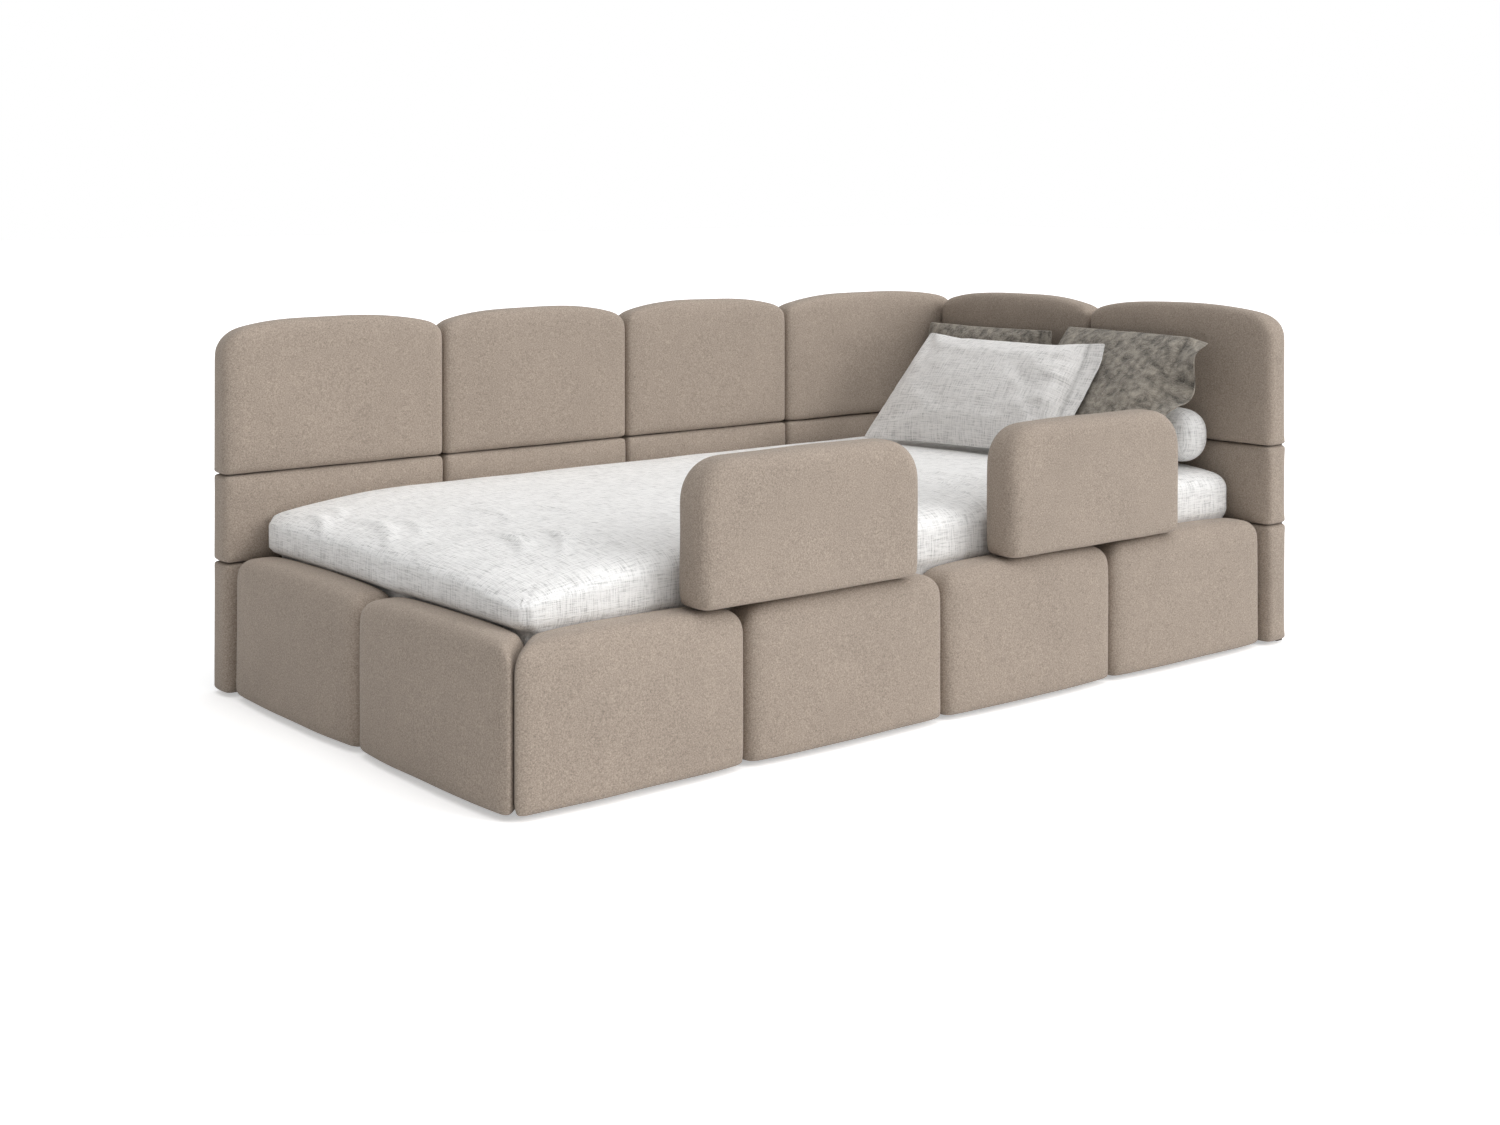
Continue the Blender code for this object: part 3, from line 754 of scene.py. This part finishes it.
def sag_edges(shape, low, high):
    """Lets the top fall away softly towards its edges, most of all at the foot."""
    middle = (low.z + high.z) / 2
    for vert in shape.verts:
        spans = (vert.co.x - low.x, high.x - vert.co.x, vert.co.y - low.y, high.y - vert.co.y)
        fall = 0.0
        for span, (reach, drop) in zip(spans, SAGS):
            fall += drop * max(0.0, 1.0 - max(0.0, span) / reach) ** 2
        from_foot, from_front = max(0.0, spans[0]), max(0.0, spans[2])
        near_foot = max(0.0, 1.0 - from_foot / CORNER_REACH)
        near_front = max(0.0, 1.0 - from_front / CORNER_REACH)
        fall += CORNER_SAG * (near_foot * near_front) ** 1.5
        vert.co.z -= fall * max(0.0, (vert.co.z - middle) / (high.z - middle))


def mattress_block(low, high, cells, rim_share, lift):
    """The mattress lying on its back: the lattice's face, -Y, becomes its top."""
    size = high - low
    shape = lattice_block(size.x, size.z - lift, size.y, cells, rim_share)
    roll_pad(shape, size.x, size.z - lift, size.y, MATTRESS_FORM)
    quarter_turn(shape, "X")
    middle = (low + high) / 2
    middle.z = low.z + (size.z - lift) / 2
    place_at(shape, middle)
    sag_edges(shape, low, high)
    return shape


SHRINK = Vector((0.004, 0.004, 0.0))  # the mattress stays inside its sheet
SHEET_ROOM = 0.010
mattress_shape = mattress_block(MATTRESS[0] + SHRINK, MATTRESS[1] - SHRINK, (44, 8, 26), 0.7,
                                SHEET_ROOM)
mattress_piece = make_piece("foam_mattress", mattress_shape, TICKING, "mattress_body",
                            ["mattress"])


# %% Wrinkles
FOLD_TAIL = 0.1  # how far a fold runs on past its two ends, as a share of its length
FOLD_BOW = 0.08  # how much it bends, as a share of its length


def fold(point, start, end, width, height):
    """The height of one soft fold along a line seen from above, at that point."""
    line = end - start
    along = (point - start).dot(line) / line.length_squared
    if not -FOLD_TAIL < along < 1.0 + FOLD_TAIL:
        return 0.0
    bow = FOLD_BOW * line.length * math.sin(math.pi * min(1.0, max(0.0, along)))
    across = (point - start).dot(Vector((-line.y, line.x)).normalized()) - bow
    fade = max(0.0, math.sin(math.pi * (along + FOLD_TAIL) / (1.0 + 2.0 * FOLD_TAIL)))
    return height * fade * math.exp(-(across / width) ** 2)


# Each fold of the sheet's top: where it starts and ends, its half width and its height.
FOLDS = (
    ((-0.678, -0.106), (-0.712, -0.255), 0.0080, 0.0090),
    ((-0.655, -0.120), (-0.690, -0.235), 0.0060, 0.0050),
    ((-0.611, -0.160), (-0.675, -0.300), 0.0075, 0.0080),
    ((-0.590, -0.170), (-0.640, -0.270), 0.0060, 0.0045),
    ((-0.602, 0.092), (-0.614, -0.066), 0.0080, 0.0060),
    ((-0.515, 0.040), (-0.507, -0.100), 0.0070, 0.0050),
    ((-0.746, 0.199), (-0.778, 0.000), 0.0085, 0.0080),
    ((-0.715, 0.120), (-0.745, -0.020), 0.0070, 0.0055),
    ((-0.765, 0.310), (-0.795, 0.190), 0.0080, 0.0065),
    ((-0.730, 0.330), (-0.755, 0.230), 0.0070, 0.0045),
    ((0.275, -0.100), (0.250, -0.300), 0.0060, 0.0065),
    ((0.200, -0.170), (0.137, -0.360), 0.0060, 0.0060),
    ((0.235, -0.140), (0.195, -0.340), 0.0050, 0.0040),
)
SWELL_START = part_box("foot_pad_1")[1][2] - 0.008
SWELL_HEIGHT = 0.012  # over this height above the start the foam comes out fully
SWELL_REACH = 0.10  # how far in from the side it moves
FOOT_SWELL = 0.024
FRONT_SWELL = 0.009
DRIFT_HEIGHT = 0.0014  # slow waves on the sheet's top
RIPPLE_HEIGHT = 0.0016  # upright ripples on its sides
SEWN_LENGTH = 0.045  # how far in over the top a corner seam runs
FURROW_WIDTH = 0.0035
FURROW_DEPTH = 0.0020


def ease(share):
    """0 below 0, 1 above 1, and a smooth rise in between."""
    share = min(1.0, max(0.0, share))
    return share * share * (3.0 - 2.0 * share)


def swell(point):
    """Above the rails the foam is free to stand out over them, at the foot and the front."""
    rise = ease((point.z - SWELL_START) / SWELL_HEIGHT)
    point.x -= FOOT_SWELL * rise * ease(1.0 - (point.x - SHEET[0].x) / SWELL_REACH)
    point.y -= FRONT_SWELL * rise * ease(1.0 - (point.y - SHEET[0].y) / SWELL_REACH)


def sheet_wrinkles(shape):
    """Folds on the top near the foot and between the guards, and ripples on the sides."""
    shape.normal_update()
    for vert in shape.verts:
        flat = vert.co.xy
        lift = 0.0
        if vert.normal.z > 0.3:
            for start, end, width, height in FOLDS:
                lift += fold(flat, Vector(start), Vector(end), width, height)
            lift += DRIFT_HEIGHT * noise.noise(Vector((flat.x * 9.0, flat.y * 9.0, 0.3)))
        else:
            down = (SHEET[1].z - vert.co.z) / (SHEET[1].z - SHEET[0].z)
            place = Vector((vert.co.x * 16.0, vert.co.y * 16.0, vert.co.z * 5.0))
            lift += RIPPLE_HEIGHT * noise.noise(place) * min(1.0, down * 1.6)
        vert.co += vert.normal * lift
        swell(vert.co)


def corner_seams(shape):
    """A narrow furrow down each corner, where the sheet's box corners are sewn.

    The seam attribute marks it, and the cloth's material paints shade along it.
    """
    middle = (SHEET[0] + SHEET[1]) / 2
    half = (SHEET[1] - SHEET[0]) / 2
    layer = shape.verts.layers.float.new(SEAM)
    for vert in shape.verts:
        from_x = half.x - abs(vert.co.x - middle.x)
        from_y = half.y - abs(vert.co.y - middle.y)
        if from_x > SEWN_LENGTH or from_y > SEWN_LENGTH:
            continue
        sewn = math.exp(-((from_x - from_y) / FURROW_WIDTH) ** 2)
        vert[layer] = sewn
        inward = Vector((middle.x - vert.co.x, middle.y - vert.co.y, 0.0)).normalized()
        vert.co += inward * FURROW_DEPTH * sewn


def lay_cloth_map(shape, low, high):
    """A UV map in metres that runs on from the top of the sheet down its sides."""
    layer = shape.loops.layers.uv.new(CLOTH_UV)
    shape.normal_update()
    for face in shape.faces:
        normal = face.normal
        for loop in face.loops:
            x, y, z = loop.vert.co
            down = high.z - z
            if abs(normal.x) > max(abs(normal.y), abs(normal.z)):
                x = low.x - down if normal.x < 0 else high.x + down
            elif abs(normal.y) > abs(normal.z):
                y = low.y - down if normal.y < 0 else high.y + down
            loop[layer].uv = (x, y)


# %% Fitted sheet
SHEET_CELLS = (230, 20, 116)
SHEET_THICKNESS = 0.0012
SHEET_OPEN = 0.004  # the sheet's faces below this height over its hem are cut away


def add_sheet():
    low, high = SHEET
    shape = mattress_block(Vector((low.x, low.y, MATTRESS[0].z)), high, SHEET_CELLS, 0.62,
                           MATTRESS_FORM.crown)
    under = [face for face in shape.faces
             if face.calc_center_median().z < low.z + SHEET_OPEN]
    bmesh.ops.delete(shape, geom=under, context="FACES")
    sheet_wrinkles(shape)
    corner_seams(shape)
    lay_cloth_map(shape, low, high)
    piece = make_piece("linen_sheet", shape, SHEETING, "mattress_body",
                       ["fitted_sheet"], 0)
    cloth = piece.modifiers.new("thickness", "SOLIDIFY")
    cloth.thickness = SHEET_THICKNESS
    cloth.offset = -1.0
    return piece


linen_sheet = add_sheet()

# %% [markdown]
# ## Pillows
# A pillow is a flat sewn case pushed out by its filling, and its wrinkles come from that:
# the middle swells, the edges are drawn in, and the cloth puckers along the seams. The
# cloth simulation does just this. Two sheets of cells joined at their rims are put under
# pressure for a few frames, and the result is kept as a mesh. A sewn case of stiff cloth
# keeps straighter edges than the solver leaves, so the mesh is drawn most of the way back
# to its flat outline and about half of the way to an even crown, at the depth that the
# leaning pillow has. At one end a flange of empty cloth runs on beyond the seam.


# %% Inflate a case
FRAMES = 20


def inflate(shape, volume):
    """Runs the cloth solver on the shape until it holds about that volume of filling."""
    mesh = bpy.data.meshes.new("inflating")
    shape.to_mesh(mesh)
    shape.free()
    balloon = bpy.data.objects.new("inflating", mesh)
    bpy.context.scene.collection.objects.link(balloon)
    cloth = balloon.modifiers.new("cloth", "CLOTH")
    settings = cloth.settings
    settings.quality = 8
    settings.mass = 0.3
    settings.tension_stiffness = 60.0
    settings.compression_stiffness = 60.0
    settings.shear_stiffness = 15.0
    settings.tension_damping = 10.0
    settings.compression_damping = 10.0
    settings.shear_damping = 10.0
    settings.bending_stiffness = 0.6
    settings.use_pressure = True
    settings.uniform_pressure_force = 0.0
    settings.use_pressure_volume = True
    settings.target_volume = volume
    settings.pressure_factor = 50.0
    settings.effector_weights.gravity = 0.0
    cloth.collision_settings.use_collision = False
    cloth.point_cache.frame_start = 1
    cloth.point_cache.frame_end = FRAMES
    for step in range(1, FRAMES + 1):
        bpy.context.scene.frame_set(step)
    graph = bpy.context.evaluated_depsgraph_get()
    result = bmesh.new()
    result.from_mesh(balloon.evaluated_get(graph).to_mesh())
    bpy.data.objects.remove(balloon)
    bpy.context.scene.frame_set(1)
    return result


THIN = 0.002  # half the thickness of the flat case at its rim
LOFT = 0.020  # how much more it has in the middle
BACK_SHEET = 1.3  # where the back sheet's cloth lies on the UV map


def flat_case(width, height, cells):
    """A thin flat case in the XZ plane, of even cells, with a UV map of its cloth."""
    shape = bmesh.new()
    bmesh.ops.create_cube(shape, size=2.0)
    for axis, count in ((0, cells[0]), (2, cells[1])):
        cut_cells(shape, axis, count)
    layer = shape.loops.layers.uv.new(CLOTH_UV)
    for vert in shape.verts:
        rim = (1.0 - vert.co.x ** 2) * (1.0 - vert.co.z ** 2)
        vert.co = Vector((vert.co.x * width / 2, vert.co.y * (THIN + LOFT * rim),
                          vert.co.z * height / 2))
    for face in shape.faces:
        side = 0.0 if face.calc_center_median().y < 0 else BACK_SHEET
        for loop in face.loops:
            loop[layer].uv = (loop.vert.co.x + side, loop.vert.co.z)
    return shape


# %% Shape and place a pillow
OUTLINE_KEPT = 0.86  # how much of the flat case's straight outline the filled case keeps
CROWN_KEPT = 0.45  # how much of its depth follows an even crown
SQUARE_CROWN = 2.4  # a high power makes the crown square in outline
FULL_CROWN = 0.6  # a low power makes it steep at its rim
HEM_HALF = 0.0016  # half the thickness of the empty border
STITCH_PINCH = 0.3
RISE_COLUMNS = 4.0  # the filling rises to its full depth over so many columns
GATHER_COLUMNS = 9.0  # the gathers fade out over so many columns
GATHER_DEPTH = 0.10
GATHER_WAVES = 30.0
BORDER_WAVE = 0.008


def stretch_to(shape, flat, width, height, front, back):
    """Draws the swollen case most of the way back to its outline, and scales its depths."""
    low = min(vert.co.y for vert in shape.verts)
    high = max(vert.co.y for vert in shape.verts)
    spread = [max(abs(vert.co[axis]) for vert in shape.verts) for axis in (0, 2)]
    for vert, (across, upward) in zip(shape.verts, flat):
        flatness = max(0.0, (1.0 - abs(across) ** SQUARE_CROWN)
                       * (1.0 - abs(upward) ** SQUARE_CROWN))
        crown = flatness ** FULL_CROWN * (-front if vert.co.y < 0 else back)
        swollen_x = vert.co.x / spread[0] * width / 2
        swollen_z = vert.co.z / spread[1] * height / 2
        vert.co.x = OUTLINE_KEPT * across * width / 2 + (1.0 - OUTLINE_KEPT) * swollen_x
        vert.co.z = OUTLINE_KEPT * upward * height / 2 + (1.0 - OUTLINE_KEPT) * swollen_z
        swollen_y = vert.co.y * (front / -low if vert.co.y < 0 else back / high)
        vert.co.y = CROWN_KEPT * crown + (1.0 - CROWN_KEPT) * swollen_y


def flange(shape, flat, width, reach, widening, droop, waves, columns):
    """Flattens the columns beyond the seam into an empty, wavy double border at +X.

    widening is how much further the border reaches at its lower end than at its upper end.
    """
    seam_column = round(columns * (1.0 - reach / width))
    seam = width * (seam_column / columns - 0.5)
    layer = shape.verts.layers.float.new(SEAM)
    for vert, (across, upward) in zip(shape.verts, flat):
        column = round((across + 1.0) / 2.0 * columns)
        lower = (1.0 - upward) / 2.0
        if column < seam_column:
            before = seam_column - column
            filled = min(1.0, before / RISE_COLUMNS) ** 0.4
            unevenly = 3.0 * noise.noise(Vector((upward * 6.0, 0.0, reach)))
            gathers = math.sin(upward * GATHER_WAVES + unevenly)
            near_seam = max(0.0, 1.0 - before / GATHER_COLUMNS)
            vert.co.y *= filled * (1.0 + GATHER_DEPTH * gathers * near_seam)
            continue
        out = (vert.co.x - seam) / reach
        side = HEM_HALF if vert.co.y > 0 else -HEM_HALF
        wave = math.sin(upward * waves / 2 + 0.6)
        # The seam column is marked, and the material paints shade along it for the furrow of
        # the seam.
        if column == seam_column:
            vert[layer] = 1.0
            side *= STITCH_PINCH
        vert.co.y = side + droop * out * (wave + 0.3)
        ripple = BORDER_WAVE * math.sin(upward * waves * 0.35)
        vert.co.x += out * (widening * lower + ripple)


def pillow_turn(lean, yaw):
    """The rotation of a pillow that leans back by lean degrees from the horizontal."""
    face_foot = Matrix.Rotation(math.radians(-90 - yaw), 3, "Z")
    tip_back = Matrix.Rotation(math.radians(90 - lean), 3, "X")
    return face_foot @ tip_back.inverted()


def case_frame(node, turn):
    """The width, depths and height of the node in its own leaning axes, and its centre."""
    own = turn.inverted()
    points = [own @ vert.co for vert in NODES[node].data.vertices]
    low = Vector([min(point[axis] for point in points) for axis in range(3)])
    high = Vector([max(point[axis] for point in points) for axis in range(3)])
    rim = [point.y for point in points if point.x > high.x - 0.001]
    seam_plane = (min(rim) + max(rim)) / 2
    middle = Vector(((low.x + high.x) / 2, seam_plane, (low.z + high.z) / 2))
    return high - low, seam_plane - low.y, high.y - seam_plane, turn @ middle


BED_TOP = SHEET[1].z
HEAD_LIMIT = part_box("head_top_pad_1")[0][0]
BACK_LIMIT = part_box("back_top_pad_2")[0][1]
GUARD_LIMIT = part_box("guard_pad_2")[1][1]
TOUCH = 0.001
GUARD_ROOM = 0.003
PILLOW_CELLS = (60, 36)
FILLED_SHARE = 0.60  # the filling's volume, as a share of the case's box


def add_pillow(node, material, body, lean, yaw, border, widening, droop, waves,
               taper=0.0):
    """Makes one case. taper is how much longer its lower edge is than its upper edge."""
    turn = pillow_turn(lean, yaw)
    size, front, back, centre = case_frame(node, turn)
    shape = flat_case(size.x, size.z, PILLOW_CELLS)
    flat = [(vert.co.x / size.x * 2, vert.co.z / size.z * 2) for vert in shape.verts]
    shape = inflate(shape, size.x * size.z * (front + back) * FILLED_SHARE)
    stretch_to(shape, flat, size.x, size.z, front, back)
    flange(shape, flat, size.x, border, widening, droop, waves,
           PILLOW_CELLS[0])
    for vert in shape.verts:
        if vert.co.x < 0:
            vert.co.x -= taper * vert.co.z / size.z * vert.co.x / size.x * 2
    bmesh.ops.rotate(shape, verts=shape.verts[:], matrix=turn)
    place_at(shape, centre)
    for vert in shape.verts:
        vert.co.z = max(vert.co.z, BED_TOP + TOUCH)
        vert.co.x = min(vert.co.x, HEAD_LIMIT - TOUCH)
        vert.co.y = max(min(vert.co.y, BACK_LIMIT - TOUCH), GUARD_LIMIT + GUARD_ROOM)
    piece = make_piece(node + "_case", shape, material, body, [node])
    print(piece.name, "leans at", lean, "degrees, size",
          [round(value, 3) for value in size])


# %% The bolster
# The white pillow against the head wall is packed round, like a short bolster, so it is
# rolled from a block instead of being blown up from a flat case.
BOLSTER_ROLL = 0.046
BOLSTER_FORM = PadForm((BOLSTER_ROLL,) * 4, (BOLSTER_ROLL,) * 4, (BOLSTER_ROLL,) * 4,
                       front_drop=BOLSTER_ROLL, back_drop=BOLSTER_ROLL, arch=0.0, crown=0.0)
BOLSTER_END = 0.010  # how far its end stays back from the end of the foam block


def add_bolster():
    low, high = (Vector(corner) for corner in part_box("lumbar_pillow"))
    low.z = BED_TOP + TOUCH
    low.y += BOLSTER_END
    size = high - low
    shape = lattice_block(size.y, size.x, size.z, (24, 12, 12), 0.6)
    roll_pad(shape, size.y, size.x, size.z, BOLSTER_FORM)
    soften(shape, 51, 0.003, 14.0)
    quarter_turn(shape, "Z")
    place_at(shape, (low + high) / 2)
    lay_cloth_map(shape, low, high)
    piece = make_piece("lumbar_pillow_case", shape, SHEETING, "lumbar",
                       ["lumbar_pillow"])


# %% The four pillows
add_bolster()
add_pillow("velvet_pillow_right", CRUSHED_VELVET, "velvet_right",
           lean=52, yaw=7, border=0.045, widening=0.034, droop=0.016, waves=13.0)
add_pillow("velvet_pillow_left", CRUSHED_VELVET, "velvet_left",
           lean=76, yaw=0, border=0.030, widening=0.0, droop=0.004, waves=9.0)
add_pillow("linen_pillow", GREY_LINEN, "linen",
           lean=53, yaw=-6, border=0.032, widening=0.008, droop=0.003, waves=7.0,
           taper=0.045)

# %% [markdown]
# ## Floor
# A plain pale floor carries the shadow. It glows a little where the camera sees it, so
# that it runs into the background.

# %% Floor
FLOOR_GLOW = 0.42
FLOOR_DEPTH = 0.0005
floor_shape = bmesh.new()
bmesh.ops.create_grid(floor_shape, x_segments=1, y_segments=1, size=30.0)
floor_mesh = bpy.data.meshes.new("floor")
floor_shape.to_mesh(floor_mesh)
floor_shape.free()
floor = bpy.data.objects.new("floor", floor_mesh)
floor.location.z = -FLOOR_DEPTH
bpy.context.scene.collection.objects.link(floor)
floor_material, floor_shader, floor_mix = toned_material("pale_floor", (0.96, 0.96, 0.96), 0.9)
floor_mix.inputs["Scale"].default_value = 1.0
floor_tree = floor_material.node_tree
floor_shader.inputs["Emission Color"].default_value = (1.0, 1.0, 1.0, 1.0)
floor_seen = add_node(floor_tree, "LightPath").outputs["Is Camera Ray"]
link(floor_tree, math_node(floor_tree, "MULTIPLY", floor_seen, FLOOR_GLOW),
     floor_shader.inputs["Emission Strength"])
floor_mesh.materials.append(floor_material)
